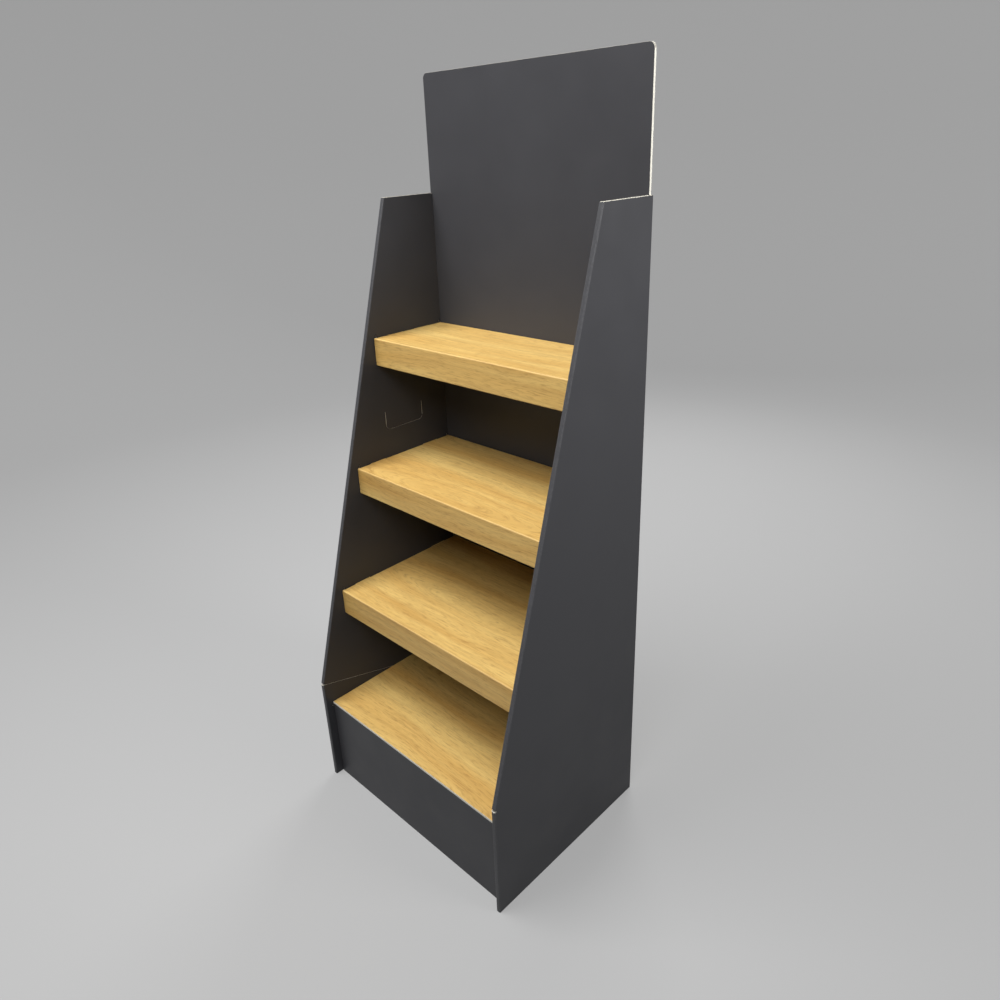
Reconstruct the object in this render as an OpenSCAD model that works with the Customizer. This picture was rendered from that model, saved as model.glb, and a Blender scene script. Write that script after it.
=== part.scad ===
// Free-standing cardboard display stand. Two folded double side walls and a back panel with a header
// stand on the floor, three folded trays hook into the walls, and a flat shelf lies on a ribbed base.
// X runs across the stand, the open front faces -Y, and the origin is under its centre on the floor.

/* [Stand] */
// Width over the two side walls
stand_w = 600; // [450:1:900]
// Depth from the walls' front edge to the rear face
stand_d = 473; // [420:1:650]
// Height of the side walls
wall_h = 1400; // [1250:1:1700]
// Depth of the walls along their top edge
wall_top_d = 147.5; // [110:0.5:240]
// Height of the knee, where the walls' front edge starts to lean back
knee_h = 286; // [245:1:400]

/* [Board] */
// Thickness of the board that every piece is cut from
board_t = 5; // [3:0.1:7]
// Outer radius of a fold
fold_r = 2.5; // [0.5:0.1:2.9]
// Space between the two layers of a folded wall
layer_gap = 0.4; // [0.2:0.1:2]
// Gap where one sheet's edge stops short of another sheet
butt_gap = 0.8; // [0.3:0.1:2]

/* [Header] */
// Height of the header above the side walls
header_h = 244; // [100:1:400]
// Radius of the header's top corners
header_r = 11; // [2:0.5:60]

/* [Shelf trays] */
// Distance from one shelf top to the next
shelf_pitch = 293; // [240:1:330]
// Height of a tray's front lip, measured from the shelf top
lip_h = 63.5; // [56:0.5:90]
// Depth of the return that is folded in under the lip
lip_return_d = 35; // [15:1:60]
// Distance from the leaning wall edge back to the lip, at the shelf top
lip_setback = 22.5; // [10:0.5:60]
// Height of a tray's side and rear flanges, measured from the shelf top
flange_h = 45; // [25:1:50]
// Gap between a shelf and the wall beside it
shelf_gap = 1; // [0.5:0.1:3]
// Width of a hook tab
tab_w = 45; // [20:1:55]
// Distance from a tray's front or rear face to the nearest hook tab
tab_inset = 40; // [20:1:50]
// Clearance of a hook tab in its slot
tab_clear = 0.4; // [0.2:0.1:1]
// How much thinner than the board a hook tab is pressed, so that it goes into its slot
tab_press = 0.5; // [0.2:0.1:1.5]

/* [Base] */
// Height of the base shelf's top
base_h = 224; // [150:1:240]
// Distance from the walls' front edge back to the base front
base_recess = 20.5; // [5:0.5:60]
// Depth of the flap that is folded in under the base shelf
top_flap_d = 60; // [20:1:120]
// Depth of the base front's side flaps
side_flap_d = 90; // [30:1:150]
// Distance between the middles of the two base ribs
rib_spacing = 280; // [120:1:380]
// Clearance of one rib in another rib's slot
rib_clear = 0.3; // [0.1:0.1:1]

/* [Die cuts] */
// Width of a die-cut slit
slit_w = 1; // [0.5:0.1:2]
// Width of the flap that is cut in each wall's liner
flap_w = 114; // [60:1:130]
// Height of that flap
flap_h = 45; // [25:1:80]
// Radius of that flap's lower corners
flap_r = 12; // [4:0.5:20]
// Height of that flap's lower edge above the middle shelf
flap_rise = 68; // [20:1:90]
// Distance from the rear face to that flap
flap_rear = 86.5; // [30:0.5:110]
// Width of the notch in the fold at the knee
notch_w = 6; // [2:0.5:12]

/* [Hidden] */
$fn = 48;

// How far a cutting shape runs past the face that it cuts
over = 1;

// Places across the depth
front_y = -stand_d / 2;
rear_y = stand_d / 2;
seat_y = rear_y - board_t - butt_gap;
base_front_y = front_y + base_recess;
rib_front_y = base_front_y + board_t + butt_gap;
cross_y = (base_front_y + seat_y) / 2;

// Places across the width, each measured from the middle
outer_x = stand_w / 2;
lap_x = outer_x - board_t;
liner_x = lap_x - layer_gap;
inner_x = liner_x - board_t;
shelf_x = inner_x - shelf_gap;
flange_x = shelf_x - board_t;
rib_x = rib_spacing / 2;

// Heights
panel_h = wall_h + header_h;
rib_h = base_h - board_t;
flap_under = rib_h - board_t;
side_flap_h = flap_under - butt_gap;

// The walls' leaning front edge
lean = (stand_d - wall_top_d) / (wall_h - knee_h);
lean_angle = atan(lean);
lean_length = (wall_h - knee_h) / cos(lean_angle);
tab_length = shelf_gap + board_t;
tab_t = board_t - tab_press;

// Shelf number 0 is the base shelf, and these are the trays, from the lowest up
trays = [1, 2, 3];
lower = trays[0];
middle = trays[1];
top = trays[2];
function shelf_z(i) = base_h + i * shelf_pitch;
function edge_y(z) = front_y + lean * (z - knee_h);
function tray_front_y(i) = edge_y(shelf_z(i)) + lip_setback;
function tab_starts(i) = [tray_front_y(i) + tab_inset, seat_y - tab_inset - tab_w];

dark_print = "#47474a";
oak_print = "#c79f63";
white_board = "#e6e2d8";

// Extrudes an outline in Y and Z along X, from x_start on
module across(x_start, length) {
  translate([x_start, 0, 0])
    rotate([90, 0, 90])
      linear_extrude(length)
        children();
}

// What a fold takes off a sharp corner that lies at the origin, in the first quadrant
module fold_cut() {
  difference() {
    translate([-over, -over])
      square(fold_r + over);
    translate([fold_r, fold_r])
      circle(fold_r);
  }
}

// A rectangle standing on the origin whose two upper corners are round
module arch(w, h, r) {
  square([w, h - r]);
  translate([r, 0])
    square([w - 2 * r, h]);
  for (x = [r, w - r])
    translate([x, h - r])
      circle(r);
}

// Back panel and header: one flat sheet that stands in the rebate behind the two liners
module back_panel() {
  color(dark_print)
    translate([-lap_x, rear_y, 0])
      rotate([90, 0, 0])
        linear_extrude(board_t)
          arch(2 * lap_x, panel_h, header_r);
}

module wall_outline() {
  polygon([
    [front_y, 0], [rear_y, 0], [rear_y, wall_h],
    [rear_y - wall_top_d, wall_h], [front_y, knee_h]
  ]);
}

// The space between a wall's two layers: it stops one board short of the folded front edge
module layer_outline() {
  spine = board_t / cos(lean_angle);
  spine_knee = knee_h - (spine - board_t) / lean;
  over_top = wall_h + over;
  polygon([
    [front_y + board_t, -over], [rear_y + over, -over], [rear_y + over, over_top],
    [edge_y(over_top) + spine, over_top], [front_y + board_t, spine_knee]
  ]);
}

// Puts its children at the knee, with Z turned up along the leaning edge
module at_knee() {
  translate([0, front_y, knee_h])
    rotate([-lean_angle, 0, 0])
      children();
}

// Rounds the wall's two front corners, where the sheet is folded from the outside to the inside
module wall_folds() {
  for (side = [0, 1])
    translate([side * (inner_x + outer_x), 0, 0])
      mirror([side, 0, 0])
        translate([inner_x, 0, 0]) {
          translate([0, front_y, -over])
            linear_extrude(knee_h + over)
              fold_cut();
          at_knee()
            linear_extrude(lean_length + over)
              fold_cut();
        }
}

// V notch that parts the upright fold from the leaning one
module knee_notch() {
  half = notch_w / 2;
  mid = lean_angle / 2;
  across(inner_x - over, outer_x - inner_x + 2 * over)
    translate([front_y, knee_h])
      polygon([
        [half * sin(lean_angle), half * cos(lean_angle)],
        [-over * cos(mid), over * sin(mid)],
        [0, -half],
        [board_t * cos(mid), -board_t * sin(mid)]
      ]);
}

// A cut through the liner alone, from an outline in Y and Z
module liner_cut() {
  across(inner_x - over, board_t + over + layer_gap / 2)
    children();
}

// Butt seam between the upper liner, cut square to the leaning fold, and the lower one
module liner_seam() {
  at_knee()
    translate([inner_x - over, -over, -butt_gap])
      cube([board_t + over + layer_gap / 2, stand_d + wall_h, butt_gap]);
}

// U-shaped slit that frees the flap in the liner on three sides
module flap_slit() {
  liner_cut()
    translate([rear_y - flap_rear - flap_w, shelf_z(middle) + flap_rise + flap_h])
      mirror([0, 1])
        difference() {
          arch(flap_w, flap_h, flap_r);
          translate([slit_w, -over])
            arch(flap_w - 2 * slit_w, flap_h + over - slit_w, flap_r - slit_w);
        }
}

// Slots in the liner that the trays' hook tabs rest in
module tab_slots() {
  liner_cut()
    for (i = trays, y = tab_starts(i))
      translate([y - tab_clear, shelf_z(i) - board_t])
        square([tab_w + 2 * tab_clear, tab_t + tab_clear]);
}

// Rebate at the rear: the liner stops at the back panel and the outer layer laps its edge
module rear_rebate() {
  translate([inner_x - over, seat_y, -over])
    cube([lap_x - inner_x + over, stand_d, wall_h + 2 * over]);
}

// One side wall: a single sheet, outer layer, folded front edge and two liner leaves
module side_wall() {
  color(dark_print)
    difference() {
      across(inner_x, outer_x - inner_x)
        wall_outline();
      across(liner_x, layer_gap)
        layer_outline();
      wall_folds();
      knee_notch();
      liner_seam();
      flap_slit();
      tab_slots();
      rear_rebate();
    }
}

module right_side_wall() {
  side_wall();
}

module left_side_wall() {
  mirror([1, 0, 0])
    side_wall();
}

// Side view of a tray of the given depth: shelf, lip, return and rear flange, from the shelf's front top edge
module tray_profile(depth) {
  difference() {
    translate([0, -lip_h])
      square([depth, lip_h]);
    translate([board_t, board_t - lip_h])
      square([depth - 2 * board_t, lip_h - 2 * board_t]);
    translate([lip_return_d, -lip_h - over])
      square([depth, lip_h - flange_h + over]);
    translate([0, -lip_h])
      fold_cut();
    mirror([0, 1])
      fold_cut();
    translate([depth, 0])
      rotate(180)
        fold_cut();
  }
}

// One side flange of tray i, on the right, with the windows that its hook tabs were cut from
module side_flange(i) {
  z = shelf_z(i);
  y_start = tray_front_y(i) + board_t + butt_gap;
  length = seat_y - board_t - butt_gap - y_start;
  difference() {
    translate([flange_x, y_start, z - flange_h])
      cube([board_t, length, flange_h]);
    translate([shelf_x, y_start - over, z])
      rotate([-90, 0, 0])
        linear_extrude(length + 2 * over)
          mirror([1, 0])
            fold_cut();
    for (y = tab_starts(i))
      translate([flange_x - over, y, z - board_t - tab_length])
        cube([board_t + 2 * over, tab_w, tab_length]);
  }
}

// The shelf's own edge is set back to the flanges along the fold, and runs full width at its two ends
module tray_body(i) {
  z = shelf_z(i);
  y_start = tray_front_y(i) + board_t + butt_gap;
  length = seat_y - board_t - butt_gap - y_start;
  difference() {
    across(-shelf_x, 2 * shelf_x)
      translate([tray_front_y(i), z])
        tray_profile(seat_y - tray_front_y(i));
    for (side = [0, 1])
      mirror([side, 0, 0])
        translate([flange_x, y_start, z - board_t - over])
          cube([board_t + over, length, board_t + 2 * over]);
  }
}

// One tray: a single sheet with folded lip, return and flanges, carried by two hook tabs at each side
module shelf_tray(i) {
  color(oak_print)
    union() {
      tray_body(i);
      for (side = [0, 1])
        mirror([side, 0, 0]) {
          side_flange(i);
          for (y = tab_starts(i))
            translate([flange_x, y, shelf_z(i) - board_t])
              cube([board_t + tab_length, tab_w, tab_t]);
        }
    }
}

module top_shelf_tray() {
  shelf_tray(top);
}

module middle_shelf_tray() {
  shelf_tray(middle);
}

module lower_shelf_tray() {
  shelf_tray(lower);
}

// Base shelf: a flat sheet that lies on the base front's flap and on the ribs
module base_shelf() {
  color(oak_print)
    translate([-shelf_x, base_front_y, rib_h])
      cube([2 * shelf_x, seat_y - base_front_y, board_t]);
}

// Base front: a panel on the floor with a flap folded in at the top and one at each side
module base_front_panel() {
  color(dark_print)
    difference() {
      union() {
        across(-shelf_x, 2 * shelf_x)
          translate([base_front_y, 0])
            difference() {
              square([top_flap_d, rib_h]);
              translate([board_t, -over])
                square([top_flap_d, flap_under + over]);
              translate([0, rib_h])
                mirror([0, 1])
                  fold_cut();
            }
        for (side = [0, 1])
          mirror([side, 0, 0])
            translate([flange_x, base_front_y, 0])
              cube([board_t, side_flap_d, side_flap_h]);
      }
      for (side = [0, 1])
        mirror([side, 0, 0])
          translate([shelf_x, base_front_y, -over])
            linear_extrude(side_flap_h + over)
              mirror([1, 0])
                fold_cut();
    }
}

// A rib across the base, slotted from above for the two ribs that cross it
module base_cross_rib() {
  color(white_board)
    translate([0, cross_y + board_t / 2, 0])
      rotate([90, 0, 0])
        linear_extrude(board_t)
          difference() {
            translate([-shelf_x, 0])
              square([2 * shelf_x, rib_h]);
            for (x = [-rib_x, rib_x])
              translate([x - board_t / 2 - rib_clear, rib_h / 2])
                square([board_t + 2 * rib_clear, rib_h]);
          }
}

// A rib from front to rear, slotted from below for the cross rib and stepped under the top flap
module base_rib(x) {
  color(white_board)
    across(x - board_t / 2, board_t)
      difference() {
        translate([rib_front_y, 0])
          square([seat_y - rib_front_y, rib_h]);
        translate([cross_y - board_t / 2 - rib_clear, -over])
          square([board_t + 2 * rib_clear, rib_h / 2 + over]);
        translate([rib_front_y - over, flap_under])
          square([base_front_y + top_flap_d + butt_gap + over - rib_front_y, board_t + over]);
      }
}

module left_base_rib() {
  base_rib(-rib_x);
}

module right_base_rib() {
  base_rib(rib_x);
}

back_panel();
left_side_wall();
right_side_wall();
top_shelf_tray();
middle_shelf_tray();
lower_shelf_tray();
base_shelf();
base_front_panel();
base_cross_rib();
left_base_rib();
right_base_rib();
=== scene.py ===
"""Looks of a free-standing cardboard display stand: printed and laminated board with cut white edges.

Every sheet keeps the form of its CAD solid. Its faces are sorted into the printed side, the plain
reverse and the cut edges, its cut edges are eased, and each side gets the finish of the real board,
with painted highlights along its folds and painted shade in the hollows of its flutes.
"""
import math
from collections import namedtuple

import bmesh
import bpy
from bpy.props import FloatProperty, FloatVectorProperty, PointerProperty
from mathutils import Matrix, Vector


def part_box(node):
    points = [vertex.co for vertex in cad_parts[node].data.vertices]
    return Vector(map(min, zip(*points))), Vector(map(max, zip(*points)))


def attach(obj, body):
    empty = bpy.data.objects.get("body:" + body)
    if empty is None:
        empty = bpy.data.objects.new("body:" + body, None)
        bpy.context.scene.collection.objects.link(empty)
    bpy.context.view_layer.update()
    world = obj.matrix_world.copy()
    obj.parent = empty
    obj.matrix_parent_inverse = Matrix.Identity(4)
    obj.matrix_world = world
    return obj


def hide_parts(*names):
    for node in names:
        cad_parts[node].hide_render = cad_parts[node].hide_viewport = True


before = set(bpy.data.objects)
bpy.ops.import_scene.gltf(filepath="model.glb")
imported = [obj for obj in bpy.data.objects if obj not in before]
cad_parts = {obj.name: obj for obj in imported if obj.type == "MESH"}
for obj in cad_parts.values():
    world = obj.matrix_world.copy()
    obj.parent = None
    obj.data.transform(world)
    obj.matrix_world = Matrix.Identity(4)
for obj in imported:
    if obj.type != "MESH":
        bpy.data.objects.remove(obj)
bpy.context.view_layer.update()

bl_info = {
    "name": "Cardboard Display Stand",
    "version": (1, 0, 0),
    "blender": (4, 5, 0),
    "location": "View3D > Sidebar > Display Stand",
    "description": "Dresses a folded cardboard display stand and sets its studio",
    "category": "Object",
}

MM = 0.001
BODY = "root"

# Sizes that are read from the frame
back_low, back_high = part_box("back_panel")
wall_low, wall_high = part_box("right_side_wall")
BOARD = back_high.y - back_low.y
WALL_INNER = wall_low.x
WALL_OUTER = wall_high.x
TOLERANCE = 0.05 * MM

# Material slots of every dressed sheet, in this order. A slit is a cut that the die leaves closed, and the
# core is the paper between the liners where a cut is modelled open.
PRINT, REVERSE, CUT, SLIT, CORE = range(5)
AXIS_X, AXIS_Y, AXIS_Z = range(3)

# Shares of a face's normal along an axis: flat across it, mostly across it, or rounding towards it
FLAT, MOSTLY, SLANTED = 0.99, 0.9, 0.05

# Edges that turn by more than these are eased at a cut, and shaded as hard edges
EASED_ANGLE = math.radians(30)
HARD_ANGLE = math.radians(35)

# Points that draw one wave of the core where a cut is modelled open
POINTS_PER_FLUTE = 8

# An upper cut that shows its flutes: the axes along and across it, its middle across, its ends and its height
OpenCut = namedtuple("OpenCut", "along across centre start end top")

# Sockets of a Mix node for colours, whose names its other kinds share
MIX_FACTOR, MIX_A, MIX_B, MIX_RESULT = 0, 6, 7, 2


def linear(code):
    """Linear RGBA of an sRGB hex colour."""
    parts = [int(code[i:i + 2], 16) / 255 for i in (1, 3, 5)]
    return tuple(c / 12.92 if c <= 0.04045 else ((c + 0.055) / 1.055) ** 2.4 for c in parts) + (1.0,)


def colour_property(name, code, description):
    """A colour property whose default is an sRGB hex colour."""
    return FloatVectorProperty(
        name=name, description=description, default=linear(code), size=4, min=0, max=1, subtype="COLOR",
    )


def power_property(name, watts, description):
    """A property for a lamp's power."""
    return FloatProperty(name=name, description=description, default=watts, min=0, unit="POWER")


class BoardSettings(bpy.types.PropertyGroup):
    """Sizes of the board that every sheet is cut from"""

    flute_pitch: FloatProperty(
        name="Flute pitch", description="Distance between two flutes of the corrugated core",
        default=6.5 * MM, min=2 * MM, max=12 * MM, unit="LENGTH",
    )
    flute_depth: FloatProperty(
        name="Flute depth", description="How deep the flutes are modelled at an open cut",
        default=6 * MM, min=1 * MM, max=20 * MM, unit="LENGTH",
    )
    paper: FloatProperty(
        name="Paper", description="Thickness of one paper of the board",
        default=0.35 * MM, min=0.1 * MM, unit="LENGTH",
    )
    cut_ease: FloatProperty(
        name="Cut ease", description="Width of the white hairline that a die leaves along a printed edge",
        default=0.35 * MM, min=0, max=1 * MM, unit="LENGTH",
    )


class FinishSettings(bpy.types.PropertyGroup):
    """Colours of the printed and plain board, and of its painted fold highlights and flute shade"""

    dark: colour_property("Dark print", "#414144", "Dark grey of the walls, the back and the base front")
    # Lighter grey of the folds: rubbed print, and a painted highlight on rounded folds and spines that face
    # the light
    dark_fold_and_highlight: colour_property("Dark fold", "#5f5f61", "Dark print where a fold has stretched and rubbed it")
    oak_light: colour_property("Light oak", "#e7c57a", "Early wood of the oak print")
    oak_mid: colour_property("Middle oak", "#d3a75c", "Broad darker bands of the oak print")
    oak_dark: colour_property("Dark oak", "#8a5a28", "Late wood and pores of the oak print")
    # Paler oak of the folds: rubbed print, and a painted highlight along the rounded folds
    oak_fold_and_highlight: colour_property("Oak fold", "#efd59c", "Oak print where a fold has stretched and rubbed it")
    cut: colour_property("Cut edge", "#e6e2d6", "White core of the board where it is cut")
    # Painted shade in the hollows between the core's wave and the liners at a cut
    hollow_shade: colour_property("Flute hollow", "#8e8a80", "Shaded hollows of the core where flutes are cut")
    reverse: colour_property("Reverse", "#dcd8cd", "Plain white reverse of the board")


class StageSettings(bpy.types.PropertyGroup):
    """Camera, floor, lamps and sky"""

    focal_pixels: FloatProperty(
        name="Focal length", description="Focal length in pixels of a frame 1000 pixels wide",
        default=774.23, min=100,
    )
    floor_colour: colour_property("Floor", "#7c7c7c", "Colour of the floor and backdrop")
    floor_glow: FloatProperty(
        name="Floor glow", description="Light that the floor and backdrop add to their own picture",
        default=0.28, min=0,
    )
    floor_radius: FloatProperty(
        name="Floor radius", description="Radius of the flat floor", default=3.4, min=2, unit="LENGTH",
    )
    key_power: power_property("Key lamp", 84, "Power of the ceiling lamp")
    front_power: power_property("Front lamp", 36, "Power of the lamp above the camera")
    side_power: power_property("Side lamp", 8, "Power of the right-hand lamp")
    rear_power: power_property("Rear lamp", 55, "Power of the lamp behind the stand")
    sky_colour: colour_property("Sky", "#dcdee0", "Colour of the light from all round")
    sky_strength: FloatProperty(
        name="Sky strength", description="Strength of the light from all round", default=0.4, min=0,
    )


def add(tree, kind, inputs=None, **settings):
    """Adds a node, sets its settings, and links or sets its inputs."""
    made = tree.nodes.new("ShaderNode" + kind)
    for name, value in settings.items():
        setattr(made, name, value)
    for name, value in (inputs or {}).items():
        if isinstance(value, bpy.types.NodeSocket):
            tree.links.new(value, made.inputs[name])
        else:
            made.inputs[name].default_value = value
    return made


def new_material(name):
    """A node material without nodes, and its tree."""
    material = bpy.data.materials.new(name)
    material.use_nodes = True
    material.node_tree.nodes.clear()
    return material, material.node_tree


def close_material(tree, shader):
    """Links the shader to the material's output."""
    add(tree, "OutputMaterial", {"Surface": shader.outputs["BSDF"]})


def flute_wave(tree, distance, pitch):
    """A wave from -1 to 1 that repeats over a distance as the flutes of the core do."""
    turn = add(tree, "Math", {0: distance, 1: math.tau / pitch}, operation="MULTIPLY")
    return add(tree, "Math", {0: turn.outputs[0]}, operation="SINE").outputs[0]


def upright_ridges(tree, place, pitch):
    """Ridges of upright flutes, which follow X on the back and the base front and Y on the walls."""
    apart = add(tree, "SeparateXYZ", {"Vector": place})
    level = add(tree, "Math", {0: apart.outputs["X"], 1: apart.outputs["Y"]}, operation="ADD")
    return flute_wave(tree, level.outputs[0], pitch)


def stretched_noise(tree, place, cell, detail, roughness):
    """Noise whose cells have a length, a width and a depth in millimetres."""
    scale = [1 / (size * MM) for size in cell]
    cells = add(tree, "Mapping", {"Vector": place, "Scale": scale})
    noise = add(tree, "TexNoise", {
        "Vector": cells.outputs[0], "Scale": 1.0, "Detail": detail, "Roughness": roughness,
    })
    return noise.outputs["Fac"]


def dark_laminate(finish, board):
    """Dark grey offset print under a satin film: even colour, soft broad gloss, faint ridges of flutes."""
    material, tree = new_material("satin-laminated dark print")
    place = add(tree, "TexCoord").outputs["Object"]
    # Slow drift of the ink over a hand's width
    mottle = add(tree, "TexNoise", {
        "Vector": place, "Scale": 1 / (90 * MM), "Detail": 3.0, "Roughness": 0.55,
    })
    # Dust and rub marks, drawn at 4 mm so that they show
    rub = add(tree, "TexNoise", {
        "Vector": place, "Scale": 1 / (4 * MM), "Detail": 4.0, "Roughness": 0.7,
    })
    tone = add(tree, "MapRange", {
        "Value": mottle.outputs["Fac"], "From Min": 0.3, "From Max": 0.7, "To Min": 0.96, "To Max": 1.04,
    })
    ink = add(tree, "VectorMath", {0: finish.dark[:3], "Scale": tone.outputs["Result"]}, operation="SCALE")
    # Folds and spines drawn lighter: rubbed print, and a painted highlight where they face the light
    wear_and_highlight = add(tree, "Attribute", attribute_name="fold_wear_and_highlight")
    rubbed = add(tree, "MapRange", {
        "Value": rub.outputs["Fac"], "From Min": 0.35, "From Max": 0.65, "To Min": 0.35, "To Max": 1.0,
    })
    wear_and_highlight_share = add(tree, "Math", {0: wear_and_highlight.outputs["Fac"], 1: rubbed.outputs["Result"]}, operation="MULTIPLY")
    colour = add(tree, "Mix", {
        MIX_FACTOR: wear_and_highlight_share.outputs[0], MIX_A: ink.outputs[0], MIX_B: finish.dark_fold_and_highlight[:],
    }, data_type="RGBA")
    gloss = add(tree, "MapRange", {
        "Value": mottle.outputs["Fac"], "From Min": 0.3, "From Max": 0.7, "To Min": 0.40, "To Max": 0.50,
    })
    # Flutes press through the sheet as upright ridges
    ridge = upright_ridges(tree, place, board.flute_pitch)
    height = add(tree, "Math", {0: rub.outputs["Fac"], 1: 0.3, 2: ridge}, operation="MULTIPLY_ADD")
    bump = add(tree, "Bump", {"Height": height.outputs[0], "Strength": 0.10, "Distance": 0.05 * MM})
    shader = add(tree, "BsdfPrincipled", {
        "Base Color": colour.outputs[MIX_RESULT], "Roughness": gloss.outputs["Result"], "IOR": 1.5,
        "Specular IOR Level": 0.22, "Normal": bump.outputs["Normal"],
    })
    close_material(tree, shader)
    return material


def oak_laminate(finish, board):
    """Oak woodgrain print under a satin film: fine streaks and long ovals of grain along the shelf."""
    material, tree = new_material("satin-laminated oak print")
    place = add(tree, "TexCoord").outputs["Object"]
    apart = add(tree, "SeparateXYZ", {"Vector": place})
    # Distance across the grain on the flat blank: it runs on over the front fold and down the lip
    across = add(tree, "Math", {0: apart.outputs["Y"], 1: apart.outputs["Z"]}, operation="ADD")
    blank = add(tree, "CombineXYZ", {"X": apart.outputs["X"], "Y": across.outputs[0]})

    # Slow wander of the grain: 400 mm along it, 110 mm across it
    wander = stretched_noise(tree, blank.outputs[0], (400, 110, 1000), 2.0, 0.5)
    drift = add(tree, "MapRange", {"Value": wander, "To Min": -22 * MM, "To Max": 22 * MM})
    bent = add(tree, "Math", {0: across.outputs[0], 1: drift.outputs["Result"]}, operation="ADD")

    # Staves 260 mm wide, flat-sawn: the grain runs about the middle of each as ovals, ten times as long
    # as they are wide
    off_middle = add(tree, "Math", {0: bent.outputs[0], 1: 130 * MM}, operation="PINGPONG")
    along = add(tree, "Math", {0: apart.outputs["X"], 1: 0.10}, operation="MULTIPLY")
    oval = add(tree, "CombineXYZ", {"X": along.outputs[0], "Y": off_middle.outputs[0]})
    radius = add(tree, "VectorMath", {0: oval.outputs[0]}, operation="LENGTH")
    grain = add(tree, "CombineXYZ", {
        "X": apart.outputs["X"], "Y": radius.outputs["Value"], "Z": across.outputs[0],
    }).outputs[0]

    # Pores: dark dashes 26 mm long, drawn 2.2 mm wide so that they show
    pores = stretched_noise(tree, grain, (26, 2.2, 50), 2.0, 0.6)
    pore = add(tree, "MapRange", {"Value": pores, "From Min": 0.50, "From Max": 0.74})
    # Growth rings: soft streaks 7 mm wide and 200 mm long
    streaks = stretched_noise(tree, grain, (200, 7, 80), 3.0, 0.55)
    ring = add(tree, "MapRange", {"Value": streaks, "From Min": 0.40, "From Max": 0.75})
    # Broad bands of tone, 45 mm wide
    bands = stretched_noise(tree, grain, (700, 45, 200), 2.0, 0.5)
    band = add(tree, "MapRange", {"Value": bands, "From Min": 0.3, "From Max": 0.7})

    wood = add(tree, "Mix", {
        MIX_FACTOR: band.outputs["Result"], MIX_A: finish.oak_light[:], MIX_B: finish.oak_mid[:],
    }, data_type="RGBA")
    ring_share = add(tree, "Math", {0: ring.outputs["Result"], 1: 0.28}, operation="MULTIPLY")
    ringed = add(tree, "Mix", {
        MIX_FACTOR: ring_share.outputs[0], MIX_A: wood.outputs[MIX_RESULT], MIX_B: finish.oak_dark[:],
    }, data_type="RGBA")
    pore_share = add(tree, "Math", {0: pore.outputs["Result"], 1: 0.45}, operation="MULTIPLY")
    pored = add(tree, "Mix", {
        MIX_FACTOR: pore_share.outputs[0], MIX_A: ringed.outputs[MIX_RESULT], MIX_B: finish.oak_dark[:],
    }, data_type="RGBA")
    # Folds drawn paler: rubbed print, and a painted highlight along the rounded folds
    wear_and_highlight = add(tree, "Attribute", attribute_name="fold_wear_and_highlight")
    wear_and_highlight_share = add(tree, "Math", {0: wear_and_highlight.outputs["Fac"], 1: 0.5}, operation="MULTIPLY")
    colour = add(tree, "Mix", {
        MIX_FACTOR: wear_and_highlight_share.outputs[0], MIX_A: pored.outputs[MIX_RESULT], MIX_B: finish.oak_fold_and_highlight[:],
    }, data_type="RGBA")
    gloss = add(tree, "MapRange", {"Value": bands, "To Min": 0.38, "To Max": 0.52})
    # Flutes press through the sheet as ridges along the shelf
    ridge = flute_wave(tree, across.outputs[0], board.flute_pitch)
    height = add(tree, "Math", {0: pores, 1: -0.6, 2: ridge}, operation="MULTIPLY_ADD")
    bump = add(tree, "Bump", {"Height": height.outputs[0], "Strength": 0.10, "Distance": 0.05 * MM})
    shader = add(tree, "BsdfPrincipled", {
        "Base Color": colour.outputs[MIX_RESULT], "Roughness": gloss.outputs["Result"], "IOR": 1.5,
        "Specular IOR Level": 0.4, "Normal": bump.outputs["Normal"],
    })
    close_material(tree, shader)
    return material


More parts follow.
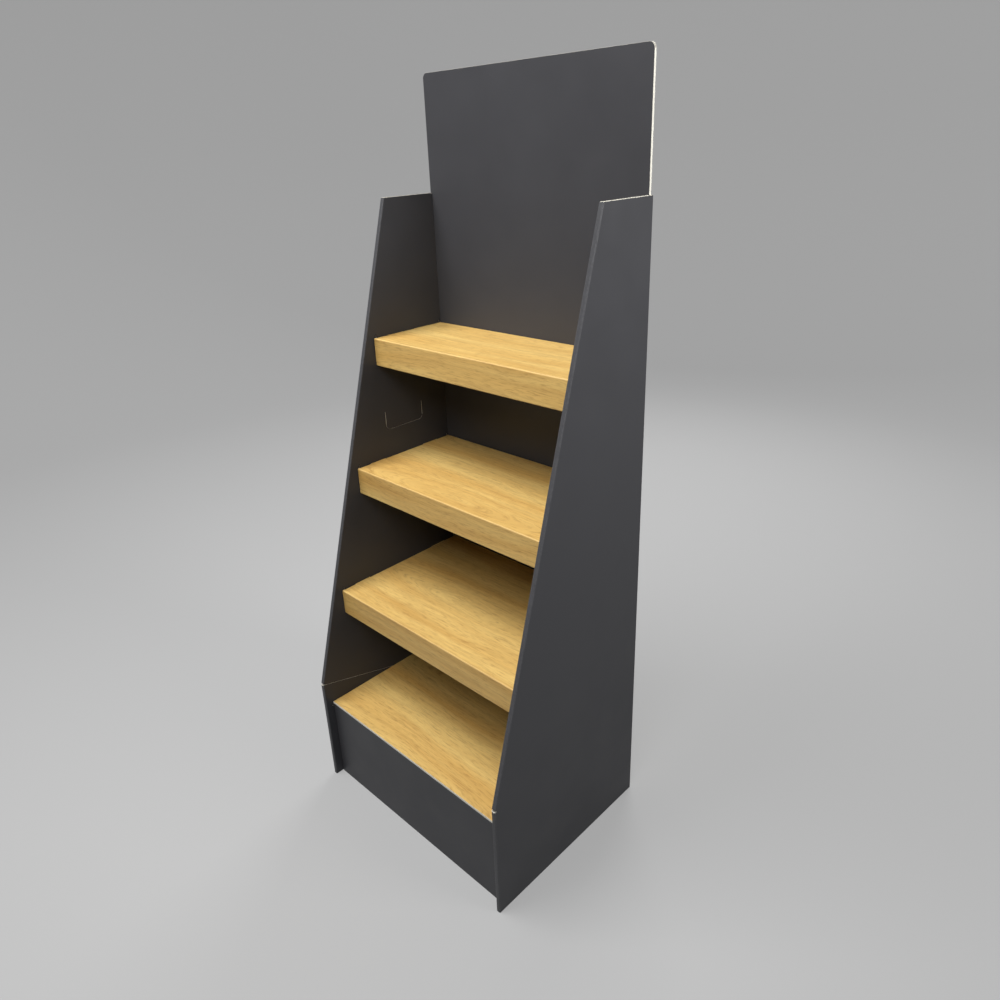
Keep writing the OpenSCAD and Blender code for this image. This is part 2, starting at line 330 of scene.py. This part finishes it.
def cut_board(finish, board):
    """White corrugated core at a die cut: two liners and, across the flutes, the core's wave between them.

    The hollows between the wave and the liners are darkened with painted shade.
    """
    material, tree = new_material("cut white corrugated board")
    edge = add(tree, "UVMap", uv_map="cut_edge")
    apart = add(tree, "SeparateXYZ", {"Vector": edge.outputs["UV"]})
    place = add(tree, "TexCoord").outputs["Object"]
    # Paper fibres, drawn at 2 mm so that they show
    fibre = add(tree, "TexNoise", {
        "Vector": place, "Scale": 1 / (2 * MM), "Detail": 4.0, "Roughness": 0.7,
    })
    # Places across the cut are shares of the board's thickness
    wave = flute_wave(tree, apart.outputs["X"], board.flute_pitch)
    core = add(tree, "MapRange", {"Value": wave, "From Min": -1.0, "To Min": 0.14, "To Max": 0.86})
    from_core = add(tree, "Math", {0: apart.outputs["Y"], 1: core.outputs["Result"]}, operation="SUBTRACT")
    core_gap = add(tree, "Math", {0: from_core.outputs[0]}, operation="ABSOLUTE")
    from_middle = add(tree, "Math", {0: apart.outputs["Y"], 1: 0.5}, operation="SUBTRACT")
    off_middle = add(tree, "Math", {0: from_middle.outputs[0]}, operation="ABSOLUTE")
    liner_gap = add(tree, "Math", {0: 0.46, 1: off_middle.outputs[0]}, operation="SUBTRACT")
    nearest = add(tree, "Math", {0: core_gap.outputs[0], 1: liner_gap.outputs[0]}, operation="MINIMUM")
    # Painted shade: the hollows away from the core's wave and the liners are darkened
    hollow_shade = add(tree, "MapRange", {
        "Value": nearest.outputs[0], "From Min": 0.06, "From Max": 0.16,
    }, interpolation_type="SMOOTHSTEP")
    ends = add(tree, "Attribute", attribute_name="flute_ends")
    hollow_shade_share = add(tree, "Math", {
        0: hollow_shade.outputs["Result"], 1: ends.outputs["Fac"],
    }, operation="MULTIPLY")
    tone = add(tree, "MapRange", {
        "Value": fibre.outputs["Fac"], "From Min": 0.3, "From Max": 0.7, "To Min": 0.93, "To Max": 1.03,
    })
    paper = add(tree, "VectorMath", {0: finish.cut[:3], "Scale": tone.outputs["Result"]}, operation="SCALE")
    colour = add(tree, "Mix", {
        MIX_FACTOR: hollow_shade_share.outputs[0], MIX_A: paper.outputs[0], MIX_B: finish.hollow_shade[:],
    }, data_type="RGBA")
    lower = add(tree, "Math", {0: hollow_shade_share.outputs[0], 1: -1.0}, operation="MULTIPLY")
    bump = add(tree, "Bump", {"Height": lower.outputs[0], "Strength": 0.6, "Distance": 1.5 * MM})
    shader = add(tree, "BsdfPrincipled", {
        "Base Color": colour.outputs[MIX_RESULT], "Roughness": 0.85, "IOR": 1.45, "Specular IOR Level": 0.25,
        "Normal": bump.outputs["Normal"],
    })
    close_material(tree, shader)
    return material


def plain_board(finish, board):
    """Uncoated white liner on the reverse: dull, slightly cloudy paper that shows its flutes as ridges and
    faint painted shade.
    """
    material, tree = new_material("uncoated white board")
    place = add(tree, "TexCoord").outputs["Object"]
    # Clouds of fibre in the sheet, about 15 mm across
    cloud = add(tree, "TexNoise", {
        "Vector": place, "Scale": 1 / (15 * MM), "Detail": 5.0, "Roughness": 0.65,
    })
    ridge = upright_ridges(tree, place, board.flute_pitch)
    # Painted shade: the flute wave darkens the paper in faint upright lines, over the clouds of fibre
    cloud_and_flute_shade = add(tree, "Math", {0: ridge, 1: 0.02, 2: cloud.outputs["Fac"]}, operation="MULTIPLY_ADD")
    tone = add(tree, "MapRange", {
        "Value": cloud_and_flute_shade.outputs[0], "From Min": 0.3, "From Max": 0.7, "To Min": 0.94, "To Max": 1.03,
    })
    paper = add(tree, "VectorMath", {
        0: finish.reverse[:3], "Scale": tone.outputs["Result"],
    }, operation="SCALE")
    height = add(tree, "Math", {0: cloud.outputs["Fac"], 1: 0.4, 2: ridge}, operation="MULTIPLY_ADD")
    bump = add(tree, "Bump", {"Height": height.outputs[0], "Strength": 0.2, "Distance": 0.08 * MM})
    shader = add(tree, "BsdfPrincipled", {
        "Base Color": paper.outputs[0], "Roughness": 0.9, "IOR": 1.45, "Specular IOR Level": 0.2,
        "Normal": bump.outputs["Normal"],
    })
    close_material(tree, shader)
    return material


MAKERS = {"dark": dark_laminate, "oak": oak_laminate, "cut": cut_board, "plain": plain_board}
made_materials = {}


def material_of(key, scene):
    """The material of that key, made the first time it is asked for."""
    if key not in made_materials:
        made_materials[key] = MAKERS[key](scene.stand_finish, scene.stand_board)
    return made_materials[key]


def at(value, place):
    """Whether a coordinate lies at a place."""
    return abs(value - place) < TOLERANCE


def of_kind(items, kind):
    """The items of one kind, such as the vertices among what an operator gives back."""
    return [item for item in items if isinstance(item, kind)]


def ease_cuts(bm, width):
    """Eases every edge between the print and a cut, as a die does, and shows the white core there."""
    edges = [
        e for e in bm.edges
        if len(e.link_faces) == 2
        and {f.material_index for f in e.link_faces} == {PRINT, CUT}
        and e.calc_face_angle(0) > EASED_ANGLE
    ]
    eased = bmesh.ops.bevel(
        bm, geom=edges, offset=width, offset_type="OFFSET", segments=1, profile=0.5, affect="EDGES",
        material=-1,
    )
    for face in eased["faces"]:
        face.material_index = CUT


def add_core_sheet(bm, cut, offset, swing, board):
    """One paper of the core, standing on edge in an opened cut: a wave, or flat where its swing is 0."""
    ends = []
    for place in (cut.start, cut.end):
        corner = Vector((0, 0, cut.top))
        corner[cut.along] = place
        corner[cut.across] = cut.centre + offset
        ends.append(bm.verts.new(corner))
    edge = bm.edges.new(ends)
    steps = POINTS_PER_FLUTE * round((cut.end - cut.start) / board.flute_pitch) if swing else 2
    divided = bmesh.ops.subdivide_edges(bm, edges=[edge], cuts=steps - 1)
    inner = of_kind(divided["geom_inner"], bmesh.types.BMVert)
    for vert in inner:
        turn = math.tau * (vert.co[cut.along] - cut.start) / board.flute_pitch
        vert.co[cut.across] += swing * math.sin(turn)
    # Each edge once, in the same order on every run
    chain = list(dict.fromkeys(e for v in inner for e in v.link_edges))
    lowered = bmesh.ops.extrude_edge_only(bm, edges=chain)
    deep = of_kind(lowered["geom"], bmesh.types.BMVert)
    bmesh.ops.translate(bm, verts=deep, vec=(0, 0, -board.flute_depth))
    sheet = of_kind(lowered["geom"], bmesh.types.BMFace)
    bmesh.ops.recalc_face_normals(bm, faces=sheet)
    thick = bmesh.ops.solidify(bm, geom=sheet, thickness=board.paper)
    for face in sheet + of_kind(thick["geom"], bmesh.types.BMFace):
        face.material_index = CORE


def open_flutes(bm, open_cuts, board):
    """Hollows the upper cuts across the flutes, and stands the papers of the double-wall core in them."""
    top = open_cuts[0].top
    rims = [
        f for f in bm.faces
        if f.material_index == CUT and f.normal.z > FLAT and at(f.calc_center_median().z, top)
    ]
    bmesh.ops.inset_region(bm, faces=rims, thickness=board.paper, use_even_offset=True)
    bmesh.ops.inset_region(
        bm, faces=rims, thickness=TOLERANCE, depth=-board.flute_depth, use_even_offset=True,
    )
    for face in rims:
        face.material_index = CORE
    quarter = BOARD / 4
    # Each wave keeps clear of the liner and of the flat middle paper
    swing = quarter - 1.5 * board.paper
    for cut in open_cuts:
        for offset, reach in ((-quarter, swing), (0, 0), (quarter, swing)):
            add_core_sheet(bm, cut, offset, reach, board)


def map_cut_edges(bm, flutes):
    """Lays each cut edge on a UV map: metres along the edge, and 0 to 1 across the board."""
    uv = bm.loops.layers.uv.new("cut_edge")
    ends = bm.faces.layers.float.new("flute_ends")
    for face in bm.faces:
        if face.material_index not in (CUT, SLIT):
            continue
        spans = []
        for axis in range(3):
            values = [v.co[axis] for v in face.verts]
            spans.append((max(values) - min(values), min(values), axis))
        spans.sort()
        # A cut square to an axis has no span there, so its next span is the board's thickness
        thickness, start, across = spans[1] if spans[0][0] < TOLERANCE else spans[0]
        along = spans[2][2]
        face[ends] = 0.0 if along == flutes else 1.0
        for loop in face.loops:
            place = loop.vert.co
            loop[uv].uv = (place[along], (place[across] - start) / max(thickness, TOLERANCE))


def dress_sheet(context, node, side_of, flutes, print_key, splits=(), open_cuts=()):
    """Makes a sheet from its CAD node: sorts its faces, eases its cuts and gives each side its finish.

    side_of takes a face's normal and middle and gives its material slot and how much lighter it is drawn,
    from 0 to 1: rubbed print and a painted highlight on folds and spines.
    flutes is the axis that the flutes run along. splits are planes, a point and a normal each, that part the
    print from a cut where both lie in one plane. open_cuts are the upper cuts that show their flutes.
    """
    scene = context.scene
    bm = bmesh.new()
    bm.from_mesh(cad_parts[node].data)
    bmesh.ops.remove_doubles(bm, verts=bm.verts, dist=TOLERANCE / 10)
    for point, normal in splits:
        bmesh.ops.bisect_plane(
            bm, geom=bm.verts[:] + bm.edges[:] + bm.faces[:], dist=TOLERANCE / 10,
            plane_co=point, plane_no=normal,
        )
    # How much lighter each face is drawn: rubbed print, and a painted highlight on folds and spines
    wear_and_highlight = bm.faces.layers.float.new("fold_wear_and_highlight")
    bm.normal_update()
    for face in bm.faces:
        face.material_index, face[wear_and_highlight] = side_of(face.normal, face.calc_center_median())
    bmesh.ops.dissolve_limit(
        bm, angle_limit=math.radians(0.2), use_dissolve_boundaries=False, verts=bm.verts, edges=bm.edges,
        delimit={"MATERIAL"},
    )
    ease_cuts(bm, scene.stand_board.cut_ease)
    if open_cuts:
        open_flutes(bm, open_cuts, scene.stand_board)
    map_cut_edges(bm, flutes)
    for face in bm.faces:
        face.smooth = True
    for edge in bm.edges:
        edge.smooth = edge.calc_face_angle(0) < HARD_ANGLE
    mesh = bpy.data.meshes.new(node + "_sheet")
    bm.to_mesh(mesh)
    bm.free()
    piece = bpy.data.objects.new(node + "_sheet", mesh)
    scene.collection.objects.link(piece)
    # In the order of the slots: print, reverse, cut, slit and core
    for key in (print_key, "plain", "cut", "cut", "plain"):
        mesh.materials.append(material_of(key, scene))
    level = piece.modifiers.new("level faces", "WEIGHTED_NORMAL")
    level.keep_sharp = True
    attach(piece, BODY)
    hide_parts(node)


def flat_sides(axis, hand=0):
    """The side_of of a flat sheet across an axis, printed on the side of that hand, or on both for 0."""
    def side_of(normal, middle):
        if abs(normal[axis]) < MOSTLY:
            return CUT, 0.0
        return (REVERSE if normal[axis] * hand < 0 else PRINT), 0.0

    return side_of


def tray_sides(low, high, shelf_side):
    """The side_of of a folded tray, from its box and the half width of its shelf without the tabs."""
    flange_front = low.y + BOARD
    flange_rear = high.y - BOARD
    # Folds drawn lighter: rubbed print, and a painted highlight along the rounded side and front folds
    side_wear_and_highlight, front_wear_and_highlight = 1.0, 0.35

    def side_of(normal, middle):
        if abs(normal.x) > FLAT:
            flange = at(abs(middle.x), shelf_side) and flange_front < middle.y < flange_rear
            outward = normal.x * middle.x > 0
            if flange and outward:
                return PRINT, 0.0
            return (CUT if outward else REVERSE), 0.0
        if abs(normal.z) > FLAT:
            if at(middle.z, high.z) or at(middle.z, low.z):
                return PRINT, 0.0
            tab = abs(middle.x) > shelf_side
            if tab and normal.z > 0:
                return PRINT, 0.0
            under = at(middle.z, high.z - BOARD) or normal.z > 0
            return (REVERSE if under else CUT), 0.0
        if abs(normal.y) > FLAT:
            if at(middle.y, low.y) or at(middle.y, high.y):
                return PRINT, 0.0
            inside = at(middle.y, flange_front) or at(middle.y, flange_rear)
            return (REVERSE if inside else CUT), 0.0
        side_fold = abs(normal.x) > SLANTED
        return PRINT, (side_wear_and_highlight if side_fold else front_wear_and_highlight)

    return side_of


class STAND_OT_back_panel(bpy.types.Operator):
    """Dress the flat sheet of the back and the header"""

    bl_idname = "display_stand.back_panel"
    bl_label = "Back panel"

    def execute(self, context):
        # The open flutes keep clear of the header's rounded corners
        corner = 12 * MM
        middle = (back_low.y + back_high.y) / 2
        cut = OpenCut(AXIS_X, AXIS_Y, middle, back_low.x + corner, back_high.x - corner, back_high.z)
        side_of = flat_sides(AXIS_Y, hand=-1)
        dress_sheet(context, "back_panel", side_of, AXIS_Z, "dark", open_cuts=[cut])
        return {"FINISHED"}


class STAND_OT_side_walls(bpy.types.Operator):
    """Dress the two folded side walls"""

    bl_idname = "display_stand.side_walls"
    bl_label = "Side walls"

    def execute(self, context):
        front = wall_low.y
        # The rounded edges and the front spine are drawn lighter: rubbed print, and a painted highlight where
        # they face the light
        round_wear_and_highlight, spine_wear_and_highlight = 0.6, 0.4
        # How far the leaning front edge faces up, as a share of its normal
        least_lean, most_lean = 0.2, 0.4

        def side_of(normal, middle):
            if abs(normal.x) > FLAT:
                printed = at(abs(middle.x), WALL_INNER) or at(abs(middle.x), WALL_OUTER)
                return (PRINT if printed else REVERSE), 0.0
            faces_forward = normal.y < -SLANTED
            if faces_forward and abs(normal.x) > SLANTED:
                return PRINT, round_wear_and_highlight
            upright = at(middle.y, front)
            leaning = normal.y < -MOSTLY and least_lean < normal.z < most_lean
            if faces_forward and (upright or leaning):
                return PRINT, spine_wear_and_highlight
            at_rim = at(middle.z, wall_high.z) or at(middle.z, wall_low.z) or normal.y > MOSTLY
            return (CUT if at_rim else SLIT), 0.0

        # The open flutes of each layer end just short of its rear edge
        layers = (
            (WALL_OUTER - BOARD / 2, wall_high.y - MM),
            (WALL_INNER + BOARD / 2, back_low.y - 2 * MM),
        )
        for node, hand in (("left_side_wall", -1), ("right_side_wall", 1)):
            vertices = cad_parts[node].data.vertices
            # They start two boards behind the front edge, clear of its fold
            start = min(v.co.y for v in vertices if at(v.co.z, wall_high.z)) + 2 * BOARD
            cuts = [
                OpenCut(AXIS_Y, AXIS_X, hand * middle, start, rear, wall_high.z) for middle, rear in layers
            ]
            dress_sheet(context, node, side_of, AXIS_Z, "dark", open_cuts=cuts)
        return {"FINISHED"}


class STAND_OT_shelf_trays(bpy.types.Operator):
    """Dress the three folded shelf trays"""

    bl_idname = "display_stand.shelf_trays"
    bl_label = "Shelf trays"

    def execute(self, context):
        shelf_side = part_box("base_shelf")[1].x
        for node in ("top_shelf_tray", "middle_shelf_tray", "lower_shelf_tray"):
            low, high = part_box(node)
            side_of = tray_sides(low, high, shelf_side)
            # The side flanges and the ends of the lip and of the rear flange lie in one plane
            splits = [((0, y, 0), (0, 1, 0)) for y in (low.y + BOARD, high.y - BOARD)]
            dress_sheet(context, node, side_of, AXIS_X, "oak", splits)
        return {"FINISHED"}


class STAND_OT_base_shelf(bpy.types.Operator):
    """Dress the flat shelf that lies on the base"""

    bl_idname = "display_stand.base_shelf"
    bl_label = "Base shelf"

    def execute(self, context):
        side_of = flat_sides(AXIS_Z, hand=1)
        dress_sheet(context, "base_shelf", side_of, AXIS_X, "oak")
        return {"FINISHED"}


class STAND_OT_base_front(bpy.types.Operator):
    """Dress the folded base front"""

    bl_idname = "display_stand.base_front"
    bl_label = "Base front"

    def execute(self, context):
        low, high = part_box("base_front_panel")
        # The rounded fold is drawn lighter: rubbed print, and a painted highlight along it
        round_wear_and_highlight = 1.0

        def side_of(normal, middle):
            if abs(normal.y) > FLAT:
                if at(middle.y, low.y):
                    return PRINT, 0.0
                return (REVERSE if at(middle.y, low.y + BOARD) else CUT), 0.0
            if abs(normal.x) > FLAT:
                outward = normal.x * middle.x > 0
                return (PRINT if outward else REVERSE), 0.0
            if abs(normal.z) > FLAT:
                if at(middle.z, high.z):
                    return PRINT, 0.0
                return (REVERSE if at(middle.z, high.z - BOARD) else CUT), 0.0
            return PRINT, round_wear_and_highlight

        dress_sheet(context, "base_front_panel", side_of, AXIS_Z, "dark")
        return {"FINISHED"}


class STAND_OT_base_ribs(bpy.types.Operator):
    """Dress the slotted ribs inside the base"""

    bl_idname = "display_stand.base_ribs"
    bl_label = "Base ribs"

    def execute(self, context):
        ribs = {"base_cross_rib": AXIS_Y, "left_base_rib": AXIS_X, "right_base_rib": AXIS_X}
        for node, axis in ribs.items():
            dress_sheet(context, node, flat_sides(axis), AXIS_Z, "plain")
        return {"FINISHED"}


def add_lamp(scene, name, place, target, size, power, spread=180):
    """A square soft lamp at a place, turned to a target, whose light fans out over that many degrees."""
    data = bpy.data.lights.new(name, "AREA")
    data.shape = "SQUARE"
    data.size = size
    data.energy = power
    data.spread = math.radians(spread)
    lamp = bpy.data.objects.new(name, data)
    lamp.location = place
    lamp.rotation_mode = "QUATERNION"
    lamp.rotation_quaternion = (Vector(target) - Vector(place)).to_track_quat("-Z", "Y")
    scene.collection.objects.link(lamp)


def add_camera(scene, focal_pixels):
    """A camera at the photograph's place and angle, for a frame 1000 pixels square."""
    frame_width = 1000.0
    # Where the photograph's optical axis meets its frame
    axis_pixel = Vector((482.3, 476.6))
    place = Vector((1.1238, -1.0256, 1.4999))
    yaw, pitch, roll = (math.radians(a) for a in (45.840, -23.302, -2.820))
    data = bpy.data.cameras.new("photo view")
    data.sensor_width = 36.0
    data.lens = focal_pixels * data.sensor_width / frame_width
    data.shift_x = 0.5 - axis_pixel.x / frame_width
    data.shift_y = axis_pixel.y / frame_width - 0.5
    camera = bpy.data.objects.new("photo view", data)
    camera.matrix_world = (
        Matrix.Translation(place)
        @ Matrix.Rotation(yaw, 4, "Z")
        @ Matrix.Rotation(math.radians(90) + pitch, 4, "X")
        @ Matrix.Rotation(roll, 4, "Z")
    )
    scene.collection.objects.link(camera)
    scene.camera = camera


def add_floor(scene, colour, glow, radius):
    """A round pale floor that sweeps up into a backdrop, turned from its own profile."""
    # Radius of the bend and height of the backdrop above it, in metres
    sweep = 1.6
    wall = 3.5
    bend_steps = 12
    turn_steps = 96
    bm = bmesh.new()
    centre = bm.verts.new((0, 0, 0))
    rim = bm.verts.new((radius, 0, 0))
    bm.edges.new((centre, rim))
    bend = bmesh.ops.spin(
        bm, geom=[rim], cent=(radius, 0, sweep), axis=(0, -1, 0), angle=math.radians(90), steps=bend_steps,
    )
    last = of_kind(bend["geom_last"], bmesh.types.BMVert)
    raised = bmesh.ops.extrude_vert_indiv(bm, verts=last)
    bmesh.ops.translate(bm, verts=raised["verts"], vec=(0, 0, wall))
    bmesh.ops.spin(
        bm, geom=bm.verts[:] + bm.edges[:], cent=(0, 0, 0), axis=(0, 0, 1), angle=math.tau,
        steps=turn_steps, use_merge=True,
    )
    bmesh.ops.remove_doubles(bm, verts=bm.verts, dist=MM)
    bmesh.ops.recalc_face_normals(bm, faces=bm.faces)
    for face in bm.faces:
        face.smooth = True
    mesh = bpy.data.meshes.new("studio_floor")
    bm.to_mesh(mesh)
    bm.free()
    floor = bpy.data.objects.new("studio_floor", mesh)
    scene.collection.objects.link(floor)
    material, tree = new_material("matt painted floor")
    # Pale to the eye and in reflections, without more light on the object
    path = add(tree, "LightPath").outputs
    direct = add(tree, "Math", {0: path["Is Camera Ray"], 1: path["Is Glossy Ray"]}, operation="MAXIMUM")
    seen = add(tree, "Math", {0: direct.outputs[0], 1: path["Is Transmission Ray"]}, operation="MAXIMUM")
    paleness = add(tree, "Math", {0: seen.outputs[0], 1: glow}, operation="MULTIPLY")
    shader = add(tree, "BsdfPrincipled", {
        "Base Color": colour, "Roughness": 0.75, "Specular IOR Level": 0.2,
        "Emission Color": linear("#ffffff"), "Emission Strength": paleness.outputs[0],
    })
    close_material(tree, shader)
    mesh.materials.append(material)


class STAND_OT_stage(bpy.types.Operator):
    """Set the camera, the floor, the lamps and the sky"""

    bl_idname = "display_stand.stage"
    bl_label = "Stage"

    def execute(self, context):
        scene = context.scene
        stage = scene.stand_stage
        scene.view_settings.view_transform = "Standard"
        add_camera(scene, stage.focal_pixels)
        add_floor(scene, stage.floor_colour[:], stage.floor_glow, stage.floor_radius)
        middle = (0, 0, 0.8)
        add_lamp(scene, "key lamp", (-0.6, -0.9, 3.45), middle, 1.4, stage.key_power)
        add_lamp(scene, "front lamp", (1.0, -1.8, 3.0), middle, 1.2, stage.front_power)
        add_lamp(scene, "side lamp", (1.9, 0.6, 2.0), (0.3, 0.1, 1.4), 0.9, stage.side_power, spread=80)
        add_lamp(scene, "rear lamp", (-1.1, 2.4, 2.2), middle, 1.6, stage.rear_power)
        world = bpy.data.worlds.new("studio")
        world.use_nodes = True
        sky = world.node_tree.nodes["Background"]
        sky.inputs["Color"].default_value = stage.sky_colour[:]
        sky.inputs["Strength"].default_value = stage.sky_strength
        scene.world = world
        return {"FINISHED"}


OPERATORS = (
    STAND_OT_back_panel, STAND_OT_side_walls, STAND_OT_shelf_trays, STAND_OT_base_shelf,
    STAND_OT_base_front, STAND_OT_base_ribs, STAND_OT_stage,
)


class STAND_PT_sidebar(bpy.types.Panel):
    """Lists the stand's pieces and settings"""

    bl_idname = "STAND_PT_sidebar"
    bl_label = "Display Stand"
    bl_space_type = "VIEW_3D"
    bl_region_type = "UI"
    bl_category = "Display Stand"

    def draw(self, context):
        for group in (context.scene.stand_board, context.scene.stand_finish, context.scene.stand_stage):
            box = self.layout.box()
            for name in type(group).__annotations__:
                box.prop(group, name)
        for operator in OPERATORS:
            self.layout.operator(operator.bl_idname)


GROUPS = {"stand_board": BoardSettings, "stand_finish": FinishSettings, "stand_stage": StageSettings}
CLASSES = (*GROUPS.values(), *OPERATORS, STAND_PT_sidebar)


def register():
    for cls in CLASSES:
        bpy.utils.register_class(cls)
    for name, group in GROUPS.items():
        setattr(bpy.types.Scene, name, PointerProperty(type=group))


def unregister():
    for name in GROUPS:
        delattr(bpy.types.Scene, name)
    for cls in reversed(CLASSES):
        bpy.utils.unregister_class(cls)


def main():
    register()
    bpy.ops.display_stand.back_panel()
    bpy.ops.display_stand.side_walls()
    bpy.ops.display_stand.shelf_trays()
    bpy.ops.display_stand.base_shelf()
    bpy.ops.display_stand.base_front()
    bpy.ops.display_stand.base_ribs()
    bpy.ops.display_stand.stage()


if __name__ == "__main__":
    main()
